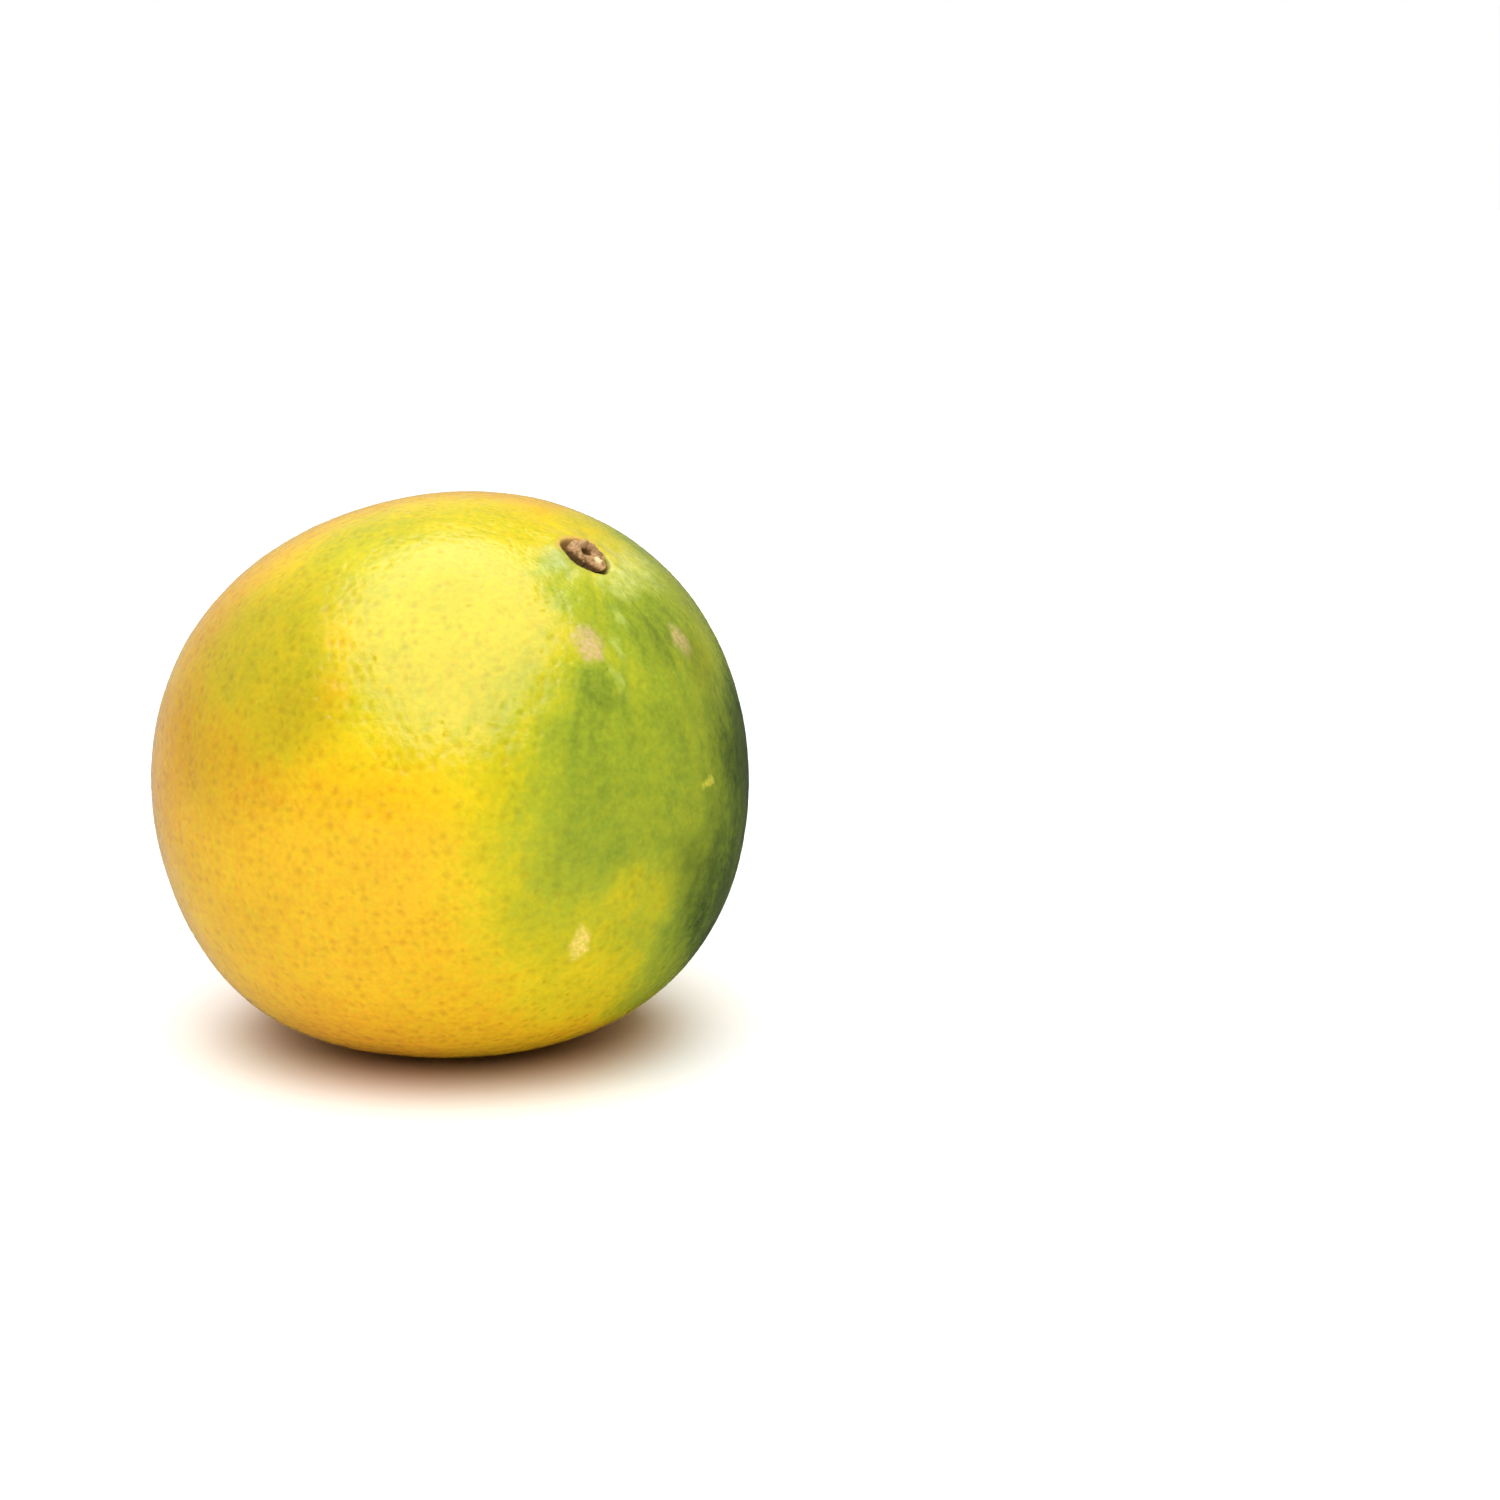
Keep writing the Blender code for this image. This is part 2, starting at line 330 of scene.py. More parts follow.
def button_top(x, y):
    """Height of the button's broken top over its rim, at this place on it."""
    distance = math.hypot(x, y) / BUTTON_RADIUS
    turn = math.atan2(y, x)
    behind = x * math.cos(BEHIND) + y * math.sin(BEHIND)
    past_hollow = (x - HOLLOW_X) * math.cos(BEHIND) + (y - HOLLOW_Y) * math.sin(BEHIND)
    from_hollow = math.hypot(x - HOLLOW_X, y - HOLLOW_Y)
    hollow = HOLLOW_DEPTH * hump(from_hollow, HOLLOW_SPREAD)
    collar = COLLAR_HEIGHT * hump(from_hollow - COLLAR_RADIUS, COLLAR_SPREAD)
    collar *= smooth_step(past_hollow, -COLLAR_REACH, COLLAR_REACH)
    slope = FRONT_SLOPE * smooth_step(-behind, 0.0, BUTTON_RADIUS)
    chip = CHIP_HEIGHT * hump(math.hypot(x - CHIP[0], y - CHIP[1]), CHIP_SPREAD)
    bent = CRACKS * turn + CRACK_SWAY * math.sin(CRACK_BENDS * turn)
    crack = CRACK_DEPTH * distance * (0.5 + 0.5 * math.cos(bent)) ** CRACK_SHARPNESS
    grain = GRAIN_HEIGHT * noise.noise(Vector((x, y, 0.0)) / GRAIN_SIZE)
    return float(collar - hollow - slope + chip - crack + grain)


def button_rings():
    """Rings of points from the button's middle out to its rim and down its wall, in its own frame."""
    rings = []
    turns = [2.0 * math.pi * side / BUTTON_SIDES for side in range(BUTTON_SIDES)]
    for ring in range(1, BUTTON_RINGS + BUTTON_WALL_RINGS + 1):
        down = max(0.0, (ring - BUTTON_RINGS) / BUTTON_WALL_RINGS)
        distance = min(1.0, ring / BUTTON_RINGS)
        points = []
        for turn in turns:
            lobe = 1.0 - LOBE_DEPTH * (0.5 - 0.5 * math.cos(BUTTON_LOBES * turn))
            x = BUTTON_RADIUS * distance * lobe * math.cos(turn)
            y = BUTTON_RADIUS * distance * lobe * math.sin(turn)
            z = (BUTTON_HEIGHT + button_top(x, y)) * (1.0 - down)
            below = max(0.0, 1.0 - z / (BUTTON_WAIST * BUTTON_HEIGHT)) if down > 0.0 else 0.0
            inward = 1.0 - (1.0 - BUTTON_FOOT) * below
            points.append((x * inward, y * inward, z))
        rings.append(points)
    return rings


def make_button(centre):
    """The dry stem button, stood in the pit at the stem end."""
    mesh = bmesh.new()
    loops = [[mesh.verts.new(point) for point in ring] for ring in button_rings()]
    middle = mesh.verts.new((0.0, 0.0, BUTTON_HEIGHT + button_top(0.0, 0.0)))
    for side in range(BUTTON_SIDES):
        after = (side + 1) % BUTTON_SIDES
        mesh.faces.new((middle, loops[0][side], loops[0][after]))
        for inner, outer in zip(loops, loops[1:]):
            mesh.faces.new((inner[side], outer[side], outer[after], inner[after]))
    mesh.faces.new(loops[-1][::-1])
    bmesh.ops.recalc_face_normals(mesh, faces=mesh.faces)
    button = add_object("woody_button", mesh)
    across, along, stem = stem_axes()
    pit_floor = (body_radius(stem[None, :]) + stem_end_height(stem[None, :]))[0]
    place = Vector(centre) + Vector(stem) * (pit_floor + BUTTON_CLEARANCE)
    turned = Matrix((across, along, stem)).transposed().to_4x4()
    button.matrix_world = Matrix.Translation(place) @ turned
    return button


class Shader:
    """Nodes of one material or world. Each call adds a node and gives its output."""

    def __init__(self, owner, surface="Principled BSDF"):
        owner.use_nodes = True
        self.owner = owner
        self.tree = owner.node_tree
        self.surface = self.tree.nodes[surface].inputs

    def put(self, socket, value):
        if isinstance(value, bpy.types.NodeSocket):
            self.tree.links.new(value, socket)
        else:
            socket.default_value = value

    def node(self, kind, inputs, output=0, **settings):
        made = self.tree.nodes.new(kind)
        for name, value in settings.items():
            setattr(made, name, value)
        for key, value in inputs.items():
            self.put(made.inputs[key], value)
        return made.outputs[output]

    def place(self):
        return self.node("ShaderNodeTexCoord", {}, output="Object")

    def attribute(self, name):
        return self.node("ShaderNodeAttribute", {}, output="Fac", attribute_name=name)

    def maths(self, operation, first, second=0.0):
        return self.node("ShaderNodeMath", {0: first, 1: second}, operation=operation)

    def vector(self, operation, first, second=(0.0, 0.0, 0.0), output="Vector"):
        return self.node("ShaderNodeVectorMath", {0: first, 1: second}, output=output, operation=operation)

    def dot(self, first, second):
        return self.vector("DOT_PRODUCT", first, tuple(float(part) for part in second), output="Value")

    def distance(self, first, second):
        return self.vector("DISTANCE", first, tuple(float(part) for part in second), output="Value")

    def scaled(self, vector, factor):
        return self.node("ShaderNodeVectorMath", {0: vector, "Scale": factor}, operation="SCALE")

    def joined(self, x=0.0, y=0.0, z=0.0):
        return self.node("ShaderNodeCombineXYZ", {0: x, 1: y, 2: z})

    def ramp(self, value, low, high, bottom=0.0, top=1.0):
        """bottom below low, top above high, and a smooth step between."""
        inputs = {"Value": value, "From Min": low, "From Max": high, "To Min": bottom, "To Max": top}
        return self.node("ShaderNodeMapRange", inputs, interpolation_type="SMOOTHSTEP")

    def noise(self, vector, scale, detail=2.0, roughness=0.5, output="Fac"):
        inputs = {"Vector": vector, "Scale": scale, "Detail": detail, "Roughness": roughness}
        return self.node("ShaderNodeTexNoise", inputs, output=output)

    def noise_ramp(self, vector, grain, steps):
        """Noise of this scale, detail and roughness, sent through a ramp."""
        return self.ramp(self.noise(vector, *grain), *steps)

    def wander(self, vector, scale, amount):
        """A shift that changes from place to place with noise of this scale."""
        shift = self.vector("SUBTRACT", self.noise(vector, scale, output="Color"), (0.5, 0.5, 0.5))
        return self.scaled(shift, amount)

    def mix(self, factor, first, second, blend="MIX"):
        inputs = {0: factor, 6: first, 7: second}
        return self.node("ShaderNodeMix", inputs, output=2, data_type="RGBA", blend_type=blend)

    def blend(self, factor, first, second):
        return self.node("ShaderNodeMix", {0: factor, 2: first, 3: second}, data_type="FLOAT")

    def scale_colour(self, colour, factor):
        """The colour made this many times as bright."""
        grey = self.node("ShaderNodeCombineColor", {0: factor, 1: factor, 2: factor})
        return self.mix(1.0, colour, grey, "MULTIPLY")

    def colour_ramp(self, value, stops):
        made = self.tree.nodes.new("ShaderNodeValToRGB")
        self.put(made.inputs[0], value)
        band = made.color_ramp.elements
        band.remove(band[1])
        band[0].position, band[0].color = stops[0]
        for position, colour in stops[1:]:
            band.new(position).color = colour
        return made.outputs[0]

    def bump(self, height, distance):
        return self.node("ShaderNodeBump", {"Height": height, "Distance": distance})


def srgb(red, green, blue):
    """A colour given in 0 to 255 screen values, as the linear values that a shader takes."""
    shares = (value / 255.0 for value in (red, green, blue))
    return (*(s / 12.92 if s <= 0.04045 else ((s + 0.055) / 1.055) ** 2.4 for s in shares), 1.0)


# The colours that the peel turns through, from dark green to orange.
RIPENING = (
    (0.00, (0.050, 0.080, 0.010, 1.0)),
    (0.15, (0.132, 0.185, 0.016, 1.0)),
    (0.30, (0.252, 0.315, 0.020, 1.0)),
    (0.45, (0.372, 0.392, 0.017, 1.0)),
    (0.58, (0.520, 0.450, 0.009, 1.0)),
    (0.70, (0.660, 0.490, 0.008, 1.0)),
    (0.82, (0.730, 0.440, 0.007, 1.0)),
    (0.92, (0.740, 0.370, 0.007, 1.0)),
    (1.00, (0.700, 0.300, 0.008, 1.0)),
)

# How ripe each part of the peel is, laid over each other in this order: azimuth and elevation of the
# middle, the angle that is all patch, the angle where it ends, its ripeness, and how much of it shows.
OPEN_RIPENESS = 0.84
PATCHES = (
    # The crown and the bright front below it, and the olive shoulder at the upper left.
    (-88.0, 50.0, 26.0, 44.0, 0.61, 1.0),
    (-120.0, 60.0, 6.0, 20.0, 0.54, 0.7),
    (-135.0, 36.0, 6.0, 24.0, 0.62, 0.9),
    (-122.0, 20.0, 3.0, 14.0, 0.68, 0.8),
    # The ripest parts: the rim at the left, bars beside the shoulder and the low front.
    (-172.0, 38.0, 4.0, 18.0, 0.88, 0.8),
    (-113.0, 38.0, 1.0, 6.0, 0.76, 0.9),
    (-112.0, 29.0, 1.0, 6.0, 0.78, 0.9),
    (-160.0, 5.0, 6.0, 24.0, 0.92, 0.7),
    (-126.0, 8.0, 2.0, 10.0, 0.90, 0.6),
    (-115.0, -52.0, 6.0, 24.0, 0.94, 0.9),
    # The green side: its wide soft edge, its middle, and the dark far right, partly painted shade.
    (25.0, 5.0, 20.0, 66.0, 0.40, 0.9),
    (-46.0, 0.0, 18.0, 50.0, 0.38, 1.0),
    (-8.0, 46.0, 8.0, 27.0, 0.36, 1.0),
    (2.0, 32.0, 6.0, 20.0, 0.34, 0.8),
    (-36.0, 8.0, 15.0, 39.0, 0.31, 1.0),
    (-3.0, 2.0, 9.0, 30.0, 0.03, 1.0),
    # Darker green spots on it.
    (-55.0, 27.0, 2.0, 9.0, 0.16, 0.75),
    (-62.0, 18.0, 2.0, 9.0, 0.28, 0.7),
    (-31.0, 37.0, 2.0, 12.0, 0.15, 0.75),
    (-45.0, 39.0, 3.0, 9.0, 0.30, 0.8),
    (-38.0, 45.0, 2.0, 8.0, 0.28, 0.6),
    (-18.0, 38.0, 3.0, 11.0, 0.26, 0.6),
    # Dark green low on the right, partly the peel's colour and partly painted shade.
    (-16.0, -22.0, 10.0, 28.0, 0.05, 1.0),
    (-32.0, -38.0, 4.0, 16.0, 0.32, 0.8),
    # Paler skin round the stem end and in a streak below it.
    (-50.0, 48.0, 3.0, 11.0, 0.42, 0.8),
    (-52.0, 45.0, 2.0, 8.0, 0.34, 0.6),
    (-46.0, 55.0, 2.0, 7.0, 0.40, 0.9),
    (-44.0, 27.0, 1.0, 7.0, 0.42, 0.6),
    (-24.0, 24.0, 1.0, 5.0, 0.40, 0.5),
    (-15.0, 58.0, 4.0, 13.0, 0.64, 0.9),
    # The lower right, where yellow comes back.
    (-50.0, -14.0, 4.0, 13.0, 0.55, 0.8),
    (-66.0, -18.0, 3.0, 12.0, 0.56, 0.7),
    (-58.0, -31.0, 5.0, 18.0, 0.65, 0.8),
    # The back and the underside.
    (50.0, 25.0, 12.0, 40.0, 0.46, 0.8),
    (60.0, -20.0, 8.0, 36.0, 0.62, 0.7),
    (146.0, -57.0, 10.0, 40.0, 0.94, 0.8),
    (120.0, 30.0, 6.0, 34.0, 0.72, 0.7),
)
# How their outlines wander: scale of the noise, and how far it moves them.
WARP = ((3.0, 0.08), (9.0, 0.07), (30.0, 0.035))

# Finer changes of ripeness. Here and below, a pair holds the scale, detail and roughness of a noise, and the
# ramp that it goes through: low and high, and the values below and above them.
MOTTLE = ((26.0, 5.0, 0.7), (0.25, 0.75, -0.06, 0.06))
STREAKS = ((8.0, 4.0, 0.6), (0.3, 0.7, -0.05, 0.05))
STREAK_CLOSENESS = 0.6
STREAKS_BY_RIPENESS = (0.45, 0.75, 1.0, 0.15)

# Darker parts of the peel, partly its own tone and partly painted shade: azimuth and elevation, the angle
# that is all patch, the angle where it ends, and how bright it is. Then a fine mottle and broad clouds.
DARK_TONES_AND_PAINTED_SHADE = (
    (-138.0, 28.0, 12.0, 34.0, 0.74),
    (-116.0, 24.0, 2.0, 12.0, 0.88),
    (-160.0, 0.0, 6.0, 26.0, 0.92),
    (-150.0, 0.0, 20.0, 56.0, 0.94),
    (-46.0, 56.0, 1.0, 7.0, 0.84),
    (-20.0, 27.0, 2.0, 9.0, 0.74),
    (-18.0, 12.0, 4.0, 16.0, 0.84),
    (-33.0, 32.0, 2.0, 9.0, 0.88),
    (-36.0, -10.0, 2.0, 12.0, 0.80),
)
FINE_SHADE = ((62.0, 2.0, 0.5), (0.3, 0.7, 0.95, 1.05))
BROAD_SHADE = ((5.0, 3.0), (0.3, 0.7, 0.96, 1.03))

# The pores are darker, the more so where the peel is ripe.
PORE_TINT = (0.72, 0.62, 0.45, 1.0)
PORE_SHOW = (0.10, 1.4, 0.0, 0.52)
PORES_BY_RIPENESS = (0.30, 0.75, 0.5, 1.0)

# The waxy surface, and grain too fine for the mesh: its noise and its height.
PEEL_IOR = 1.40
PEEL_ROUGHNESS = ((60.0, 3.0), (0.3, 0.7, 0.12, 0.18))
PEEL_GRAIN = (90.0, 4.0, 0.6)
PEEL_GRAIN_HEIGHT = 0.00004

# Old scars, a little raised: azimuth and elevation, half the width and half the height in degrees, colour,
# and share.
SCARS = (
    (-53.5, 36.2, 3.4, 4.2, srgb(198, 164, 124), 0.90),
    (-23.5, 32.0, 3.0, 3.9, srgb(196, 170, 112), 0.90),
    (-61.5, -20.6, 2.1, 3.7, srgb(246, 214, 118), 0.75),
    (-30.0, 5.1, 2.6, 1.1, srgb(222, 208, 74), 0.8),
)
SCAR_HEIGHT = 0.00005
SCAR_EDGE = (0.45, 1.22)
SCAR_NET = ((70.0, 3.0, 0.6), (0.40, 0.60, 1.0, 0.45))
# How fast a mark ends where the peel curves away from it, and how its outline wanders.
MARK_FALL = 10.0
MARK_WANDER = (28.0, 0.06)

# Pale dry skin near the stem end, and a thin pale streak below it, listed like the scars.
PALE_SKIN = (
    (-29.0, 48.5, 6.5, 4.5, srgb(222, 224, 146), 0.5),
    (-14.0, 50.0, 8.0, 7.0, srgb(214, 216, 134), 0.5),
    (-47.0, 56.0, 8.0, 5.0, srgb(214, 224, 140), 0.35),
    (-34.0, 44.5, 1.6, 2.2, srgb(206, 216, 120), 0.35),
    (-40.5, 40.0, 1.2, 2.6, srgb(206, 216, 120), 0.35),
    (-46.0, 34.5, 1.0, 3.2, srgb(206, 216, 120), 0.35),
    (-49.5, 28.0, 1.0, 3.6, srgb(200, 212, 112), 0.3),
)
PALE_EDGE = (0.2, 1.5)
PALE_BLOTCHES = ((22.0, 4.0, 0.6), (0.35, 0.65, 0.3, 1.0))

# The skin round the button, in shares of the radius: where it fades in up or down the slope, how far it
# reaches from the stem, how much of it shows, and its colour.
STEM_END_SKINS = (
    # Tan on the upper rim of the pit, and brown green on the lower side of its wall.
    ((0.03, 0.09), (0.084, 0.128), 0.8, srgb(205, 150, 104)),
    ((0.03, -0.05), (0.078, 0.100), 0.9, srgb(120, 96, 36)),
)
SKIN_WANDER = (40.0, 0.012)

# Colours of the stem button's wood, from its dark foot, partly painted shade, to its worn collar. The tone
# rises with the height, and changes with grain and blotches, less near the foot.
WOOD_AND_FOOT_SHADE_COLOURS = (
    (0.00, srgb(54, 36, 12)),
    (0.25, srgb(88, 62, 30)),
    (0.50, srgb(150, 114, 76)),
    (0.85, srgb(190, 156, 112)),
    (1.00, srgb(218, 190, 142)),
)
FOOT_SHADE_HEIGHTS = (0.00150, 0.00196)
FOOT_SHADE_TONES = (0.04, 0.62)
WOOD_GRAIN = (2600.0, 4.0, 0.65)
GRAIN_TONES = (0.3, 0.7, -0.2, 0.24)
WOOD_BLOTCHES = ((700.0, 2.0), (0.3, 0.7, -0.1, 0.1))
WEAR_AT_FOOT = 0.25
WOOD_ROUGHNESS = (0.3, 0.7, 0.75, 0.9)
WOOD_SPECULAR = 0.12
WOOD_GRAIN_HEIGHT = 0.00012

# Painted shade in the hollow, and the pale chip: colour, how far it reaches in metres, and how much of it
# shows.
HOLLOW_PAINTED_SHADE = srgb(92, 66, 26)
HOLLOW_SHADE_REACH = (0.0003, 0.0008)
HOLLOW_SHADE_SHARE = 0.90
CHIP_COLOUR = srgb(238, 220, 170)
CHIP_REACH = (0.0003, 0.0007)
CHIP_SHARE = 0.85


def tangents(azimuth, elevation):
    """Two unit vectors that lie on the surface at this place: to the side, and up."""
    turn = math.radians(azimuth)
    aside = np.array([-math.sin(turn), math.cos(turn), 0.0])
    return aside, np.cross(direction(azimuth, elevation), aside)


def scar_height(directions):
    """How far the scars stand over the skin."""
    height = np.zeros(len(directions))
    for azimuth, elevation, half_width, half_height, _, _ in SCARS:
        aside, upward = tangents(azimuth, elevation)
        x = directions @ aside / math.radians(half_width)
        y = directions @ upward / math.radians(half_height)
        depth = 1.0 - directions @ direction(azimuth, elevation)
        away = np.sqrt(x**2 + y**2 + (depth * MARK_FALL) ** 2)
        height += SCAR_HEIGHT * (1.0 - smooth_step(away, *SCAR_EDGE))
    return height


def chord(angle):
    """The straight distance between two unit vectors this many degrees apart."""
    return 2.0 * math.sin(math.radians(angle) / 2.0)


def streak_place(shader, unit):
    """A place that changes slowly from the stem end to the blossom end, where noise runs in streaks."""
    across, along, stem = stem_axes()
    flat = shader.joined(shader.dot(unit, across), shader.dot(unit, along))
    round_stem = shader.vector("NORMALIZE", flat)
    drawn = shader.joined(z=shader.maths("MULTIPLY", shader.dot(unit, stem), STREAK_CLOSENESS))
    return shader.vector("ADD", round_stem, drawn)


def peel_ripeness(shader, unit):
    """How ripe each part of the peel is: the patches over each other, then mottle and streaks."""
    warped = unit
    for scale, amount in WARP:
        warped = shader.vector("ADD", warped, shader.wander(unit, scale, amount))
    ripeness = OPEN_RIPENESS
    for azimuth, elevation, inner, outer, target, share in PATCHES:
        away = shader.distance(warped, direction(azimuth, elevation))
        here = shader.ramp(away, chord(inner), chord(outer), share, 0.0)
        ripeness = shader.blend(here, ripeness, target)
    mottle = shader.noise_ramp(unit, *MOTTLE)
    streak = shader.noise_ramp(streak_place(shader, unit), *STREAKS)
    streak = shader.maths("MULTIPLY", streak, shader.ramp(ripeness, *STREAKS_BY_RIPENESS))
    return shader.maths("ADD", ripeness, shader.maths("ADD", mottle, streak))


def add_marks(shader, unit, colour, marks, edge, cover):
    """Lays oval marks with ragged outlines over the colour. Edge tells where a mark starts to fade and where
    it ends, in shares of its own size, and cover how much of the marks shows from place to place."""
    ragged = shader.vector("ADD", unit, shader.wander(unit, *MARK_WANDER))
    for azimuth, elevation, half_width, half_height, tint, share in marks:
        aside, upward = tangents(azimuth, elevation)
        x = shader.dot(ragged, aside / math.radians(half_width))
        y = shader.dot(ragged, upward / math.radians(half_height))
        depth = shader.maths("SUBTRACT", 1.0, shader.dot(unit, direction(azimuth, elevation)))
        place = shader.joined(x, y, shader.maths("MULTIPLY", depth, MARK_FALL))
        away = shader.vector("LENGTH", place, output="Value")
        here = shader.ramp(away, *edge, share, 0.0)
        colour = shader.mix(shader.maths("MULTIPLY", here, cover), colour, tint)
    return colour


def add_stem_end_skin(shader, unit, colour):
    """Colours the rim and the wall of the pit."""
    _, along, stem = stem_axes()
    ragged = shader.vector("ADD", unit, shader.wander(unit, *SKIN_WANDER))
    away = shader.distance(ragged, stem)
    upward = shader.dot(unit, along)
    for side, reach, share, tint in STEM_END_SKINS:
        here = shader.maths("MULTIPLY", shader.ramp(upward, *side), shader.ramp(away, *reach, share, 0.0))
        colour = shader.mix(here, colour, tint)
    return colour


def peel_tone_and_painted_shade(shader, unit):
    """How bright each part of the peel is: fine mottle, broad clouds and the darker parts, partly painted
    shade.
    """
    shade = shader.maths(
        "MULTIPLY", shader.noise_ramp(unit, *FINE_SHADE), shader.noise_ramp(unit, *BROAD_SHADE)
    )
    # Darker patches: partly the peel's own tone, partly painted shade.
    for azimuth, elevation, inner, outer, bright in DARK_TONES_AND_PAINTED_SHADE:
        away = shader.distance(unit, direction(azimuth, elevation))
        shade = shader.maths("MULTIPLY", shade, shader.ramp(away, chord(inner), chord(outer), bright, 1.0))
    return shade


def make_peel_material(centre):
    """Ripening colours with darker pores, pale skin, scars, the skin round the button and painted shade,
    under wax.
    """
    shader = Shader(bpy.data.materials.new("citrus_peel"))
    unit = shader.vector("NORMALIZE", shader.vector("SUBTRACT", shader.place(), tuple(centre)))
    ripeness = peel_ripeness(shader, unit)
    colour = shader.colour_ramp(ripeness, RIPENING)
    pore = shader.ramp(shader.attribute("pore"), *PORE_SHOW)
    show = shader.ramp(ripeness, *PORES_BY_RIPENESS)
    colour = shader.mix(shader.maths("MULTIPLY", pore, show), colour, PORE_TINT, "MULTIPLY")
    blotches = shader.noise_ramp(unit, *PALE_BLOTCHES)
    colour = add_marks(shader, unit, colour, PALE_SKIN, PALE_EDGE, blotches)
    net = shader.noise_ramp(unit, *SCAR_NET)
    colour = add_marks(shader, unit, colour, SCARS, SCAR_EDGE, net)
    colour = add_stem_end_skin(shader, unit, colour)
    colour = shader.scale_colour(colour, peel_tone_and_painted_shade(shader, unit))
    shader.put(shader.surface["Base Color"], colour)
    shader.put(shader.surface["Roughness"], shader.noise_ramp(unit, *PEEL_ROUGHNESS))
    shader.put(shader.surface["IOR"], PEEL_IOR)
    grain = shader.noise(unit, *PEEL_GRAIN)
    shader.put(shader.surface["Normal"], shader.bump(grain, PEEL_GRAIN_HEIGHT))
    return shader.owner


def make_wood_material():
    """Dry matt wood: dark at its foot and in its hollow, partly painted shade, paler on its collar and
    palest on its chip.
    """
    shader = Shader(bpy.data.materials.new("dry_stem_wood"))
    place = shader.place()
    grain = shader.noise(place, *WOOD_GRAIN)
    height = shader.node("ShaderNodeSeparateXYZ", {0: place}, output="Z")
    # Painted shade: the wood darkens towards its foot.
    raised = shader.ramp(height, *FOOT_SHADE_HEIGHTS, *FOOT_SHADE_TONES)
    worn = shader.maths("ADD", shader.ramp(grain, *GRAIN_TONES), shader.noise_ramp(place, *WOOD_BLOTCHES))
    wear = shader.maths("MULTIPLY", worn, shader.maths("ADD", raised, WEAR_AT_FOOT))
    colour = shader.colour_ramp(shader.maths("ADD", raised, wear), WOOD_AND_FOOT_SHADE_COLOURS)
    flat_place = shader.vector("MULTIPLY", place, (1.0, 1.0, 0.0))
    in_hollow = shader.distance(flat_place, (HOLLOW_X, HOLLOW_Y, 0.0))
    # Painted shade in the hollow.
    colour = shader.mix(shader.ramp(in_hollow, *HOLLOW_SHADE_REACH, HOLLOW_SHADE_SHARE, 0.0), colour, HOLLOW_PAINTED_SHADE)
    on_chip = shader.distance(flat_place, CHIP)
    colour = shader.mix(shader.ramp(on_chip, *CHIP_REACH, CHIP_SHARE, 0.0), colour, CHIP_COLOUR)
    shader.put(shader.surface["Base Color"], colour)
    shader.put(shader.surface["Roughness"], shader.ramp(grain, *WOOD_ROUGHNESS))
    shader.put(shader.surface["Specular IOR Level"], WOOD_SPECULAR)
    shader.put(shader.surface["Normal"], shader.bump(grain, WOOD_GRAIN_HEIGHT))
    return shader.owner


def finish(piece, material, node):
    """Gives a piece its material, and puts it in the place of a CAD node."""
    piece.data.materials.append(material)
    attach(piece, "root")
    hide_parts(node)


def make_floor_material():
    """A pale floor with a painted contact shadow round the fruit's foot that only the camera sees, and
    painted shade where the peel mirrors it.
    """
    shader = Shader(bpy.data.materials.new("pale_floor"))
    place = shader.place()
    colour = shader.mix(shader.noise_ramp(place, *FLOOR_CLOUD), *FLOOR_COLOURS)
    seen = shader.node("ShaderNodeLightPath", {}, output="Is Camera Ray")
    out = shader.vector("LENGTH", place, output="Value")
    # Painted contact shadow, warm as if lit by the peel, seen by the camera alone.
    under = shader.maths("MULTIPLY", seen, shader.ramp(out, *CONTACT_SHADOW_REACH, CONTACT_SHADOW_SHARE, 0.0))
    colour = shader.mix(under, colour, PAINTED_CONTACT_SHADOW)
    # Painted shade that only the peel's reflections see, darker to the right.
    mirrored = shader.node("ShaderNodeLightPath", {}, output="Is Glossy Ray")
    to_right = shader.node("ShaderNodeSeparateXYZ", {0: place}, output="X")
    painted_gloss_shade = shader.ramp(to_right, *PAINTED_SHADE_SIDES, *PAINTED_SHADE_IN_GLOSS)
    shade = shader.blend(mirrored, 1.0, painted_gloss_shade)
    shader.put(shader.surface["Base Color"], shader.scale_colour(colour, shade))
    shader.put(shader.surface["Roughness"], FLOOR_ROUGHNESS)
    return shader.owner


def make_floor():
    mesh = bmesh.new()
    bmesh.ops.create_grid(mesh, x_segments=2, y_segments=2, size=FLOOR_SIZE / 2)
    floor = add_object("floor", mesh)
    floor.data.materials.append(make_floor_material())


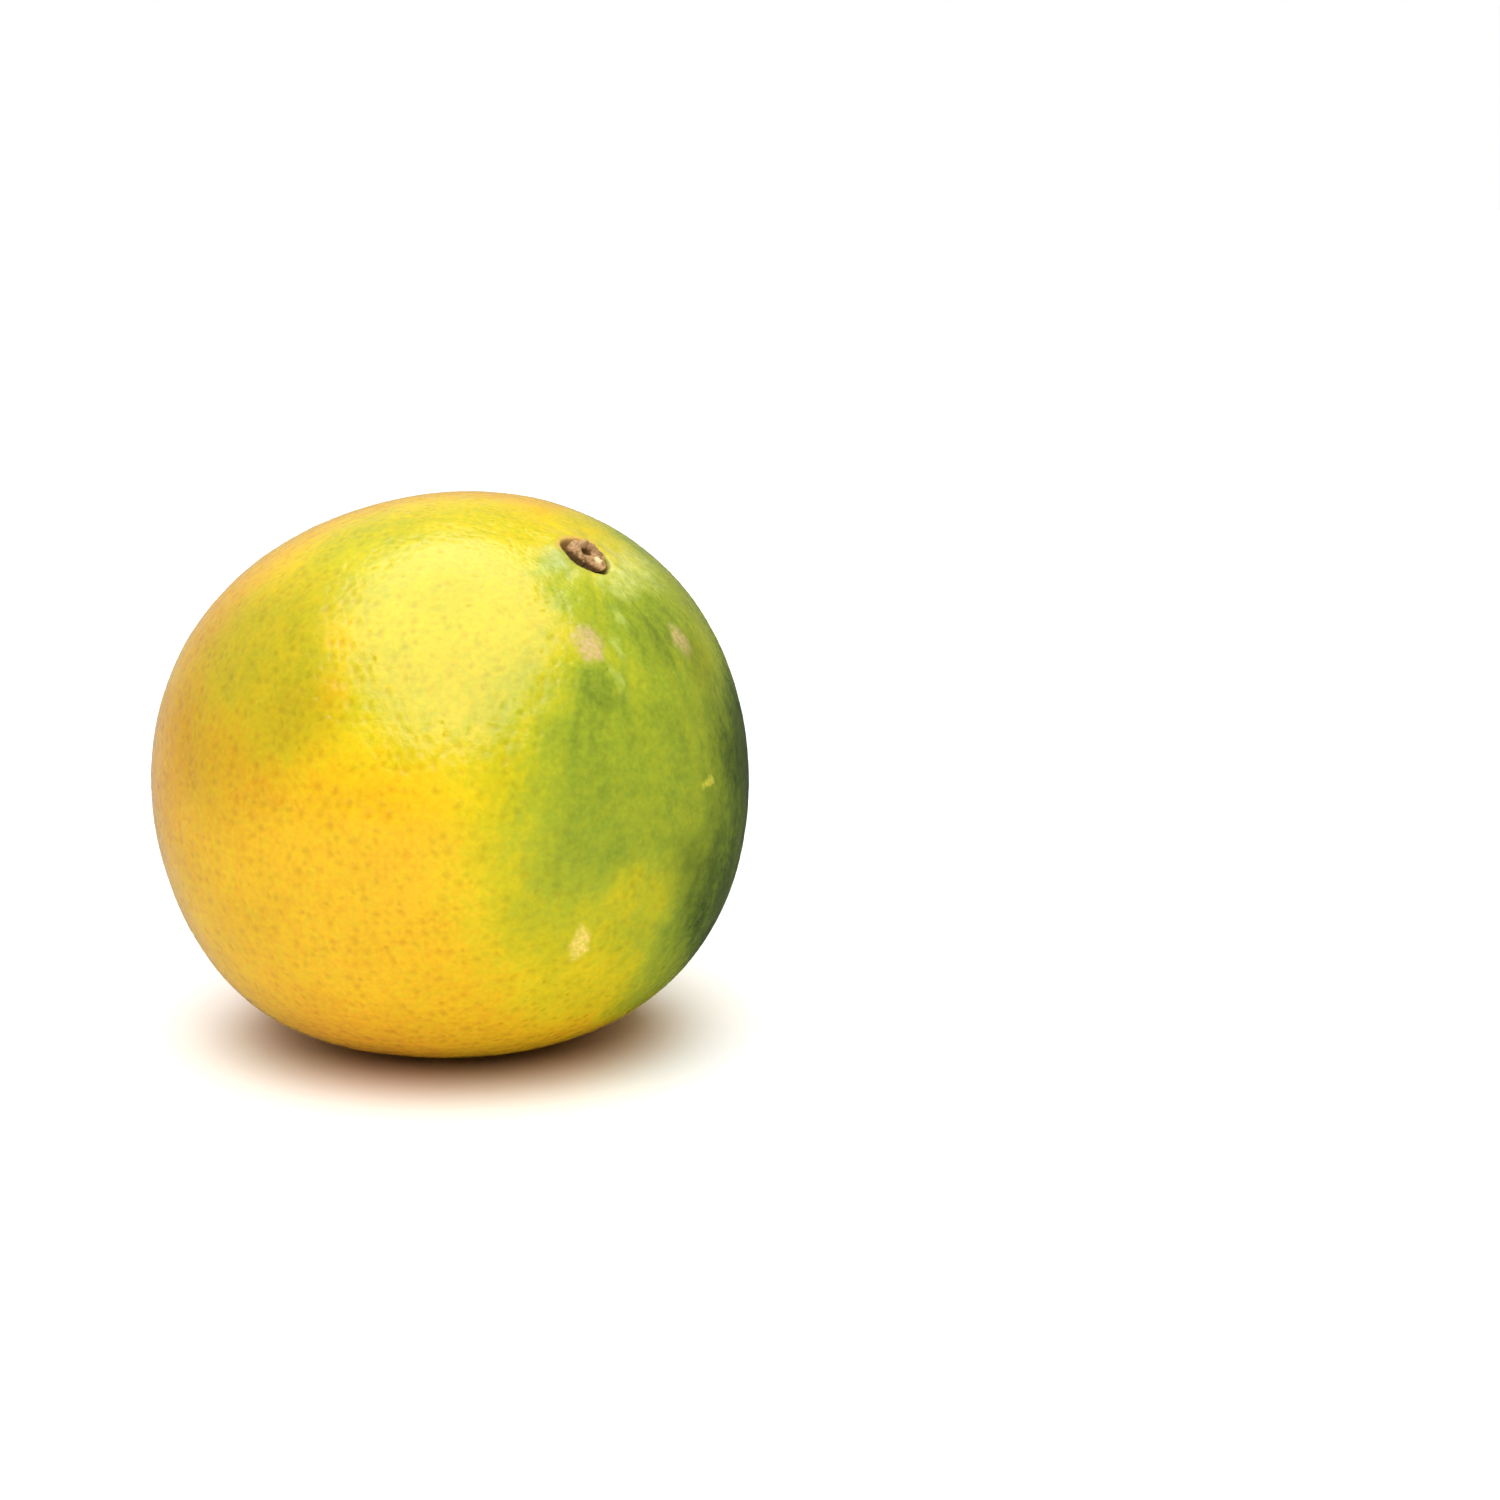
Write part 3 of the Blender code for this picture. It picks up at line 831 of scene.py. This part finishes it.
def add_light(centre):
    """The panel faces the fruit, with its long side from front to back."""
    data = bpy.data.lights.new("overhead_panel", "AREA")
    data.shape = "ELLIPSE"
    data.size = 2.0 * LIGHT_HALF_WIDTH
    data.size_y = 2.0 * LIGHT_HALF_LENGTH
    area = math.pi * LIGHT_HALF_WIDTH * LIGHT_HALF_LENGTH
    data.energy = LIGHT_RADIANCE * math.pi * area
    light = bpy.data.objects.new("overhead_panel", data)
    bpy.context.scene.collection.objects.link(light)
    outward = Vector(direction(LIGHT_AZIMUTH, LIGHT_ELEVATION))
    across = Vector((0.0, 1.0, 0.0)).cross(outward).normalized()
    light.location = Vector(centre) + LIGHT_DISTANCE * outward
    light.rotation_euler = Matrix((across, outward.cross(across), outward)).transposed().to_euler()


def add_world():
    """A dim room, brighter at the back left. The camera sees it as plain white."""
    world = bpy.data.worlds.new("room")
    shader = Shader(world, "Background")
    looking = shader.node("ShaderNodeTexCoord", {}, output="Generated")
    glow = shader.ramp(shader.dot(looking, BACKDROP_SIDE), *BACKDROP_FADE, ROOM_RADIANCE, BACKDROP_RADIANCE)
    seen = shader.node("ShaderNodeLightPath", {}, output="Is Camera Ray")
    shader.put(shader.surface["Strength"], shader.maths("MAXIMUM", glow, seen))
    shader.put(shader.surface["Color"], (1.0, 1.0, 1.0, 1.0))
    bpy.context.scene.world = world


def add_camera(centre):
    """The camera looks a little down, and stands so that the body's middle lands on its pixel."""
    focal_pixels = RADIUS_PIXELS * CAMERA_DISTANCE / RADIUS
    data = bpy.data.cameras.new("camera")
    data.sensor_width = SENSOR_WIDTH
    data.lens = SENSOR_WIDTH * focal_pixels / PICTURE_PIXELS
    camera = bpy.data.objects.new("camera", data)
    bpy.context.scene.collection.objects.link(camera)
    rise = math.radians(CAMERA_ELEVATION)
    right = Vector((1.0, 0.0, 0.0))
    forward = Vector((0.0, math.cos(rise), -math.sin(rise)))
    up = right.cross(forward)
    aside = (BODY_PIXEL[0] - PICTURE_PIXELS / 2) / focal_pixels
    above = (PICTURE_PIXELS / 2 - BODY_PIXEL[1]) / focal_pixels
    camera.location = Vector(centre) - CAMERA_DISTANCE * (forward + aside * right + above * up)
    camera.rotation_euler = (math.pi / 2 - rise, 0.0, 0.0)
    bpy.context.scene.camera = camera


peel, centre = make_peel()
finish(peel, make_peel_material(centre), "fruit")
finish(make_button(centre), make_wood_material(), "stem_button")
make_floor()
add_light(centre)
add_world()
add_camera(centre)
bpy.context.scene.view_settings.view_transform = "Standard"
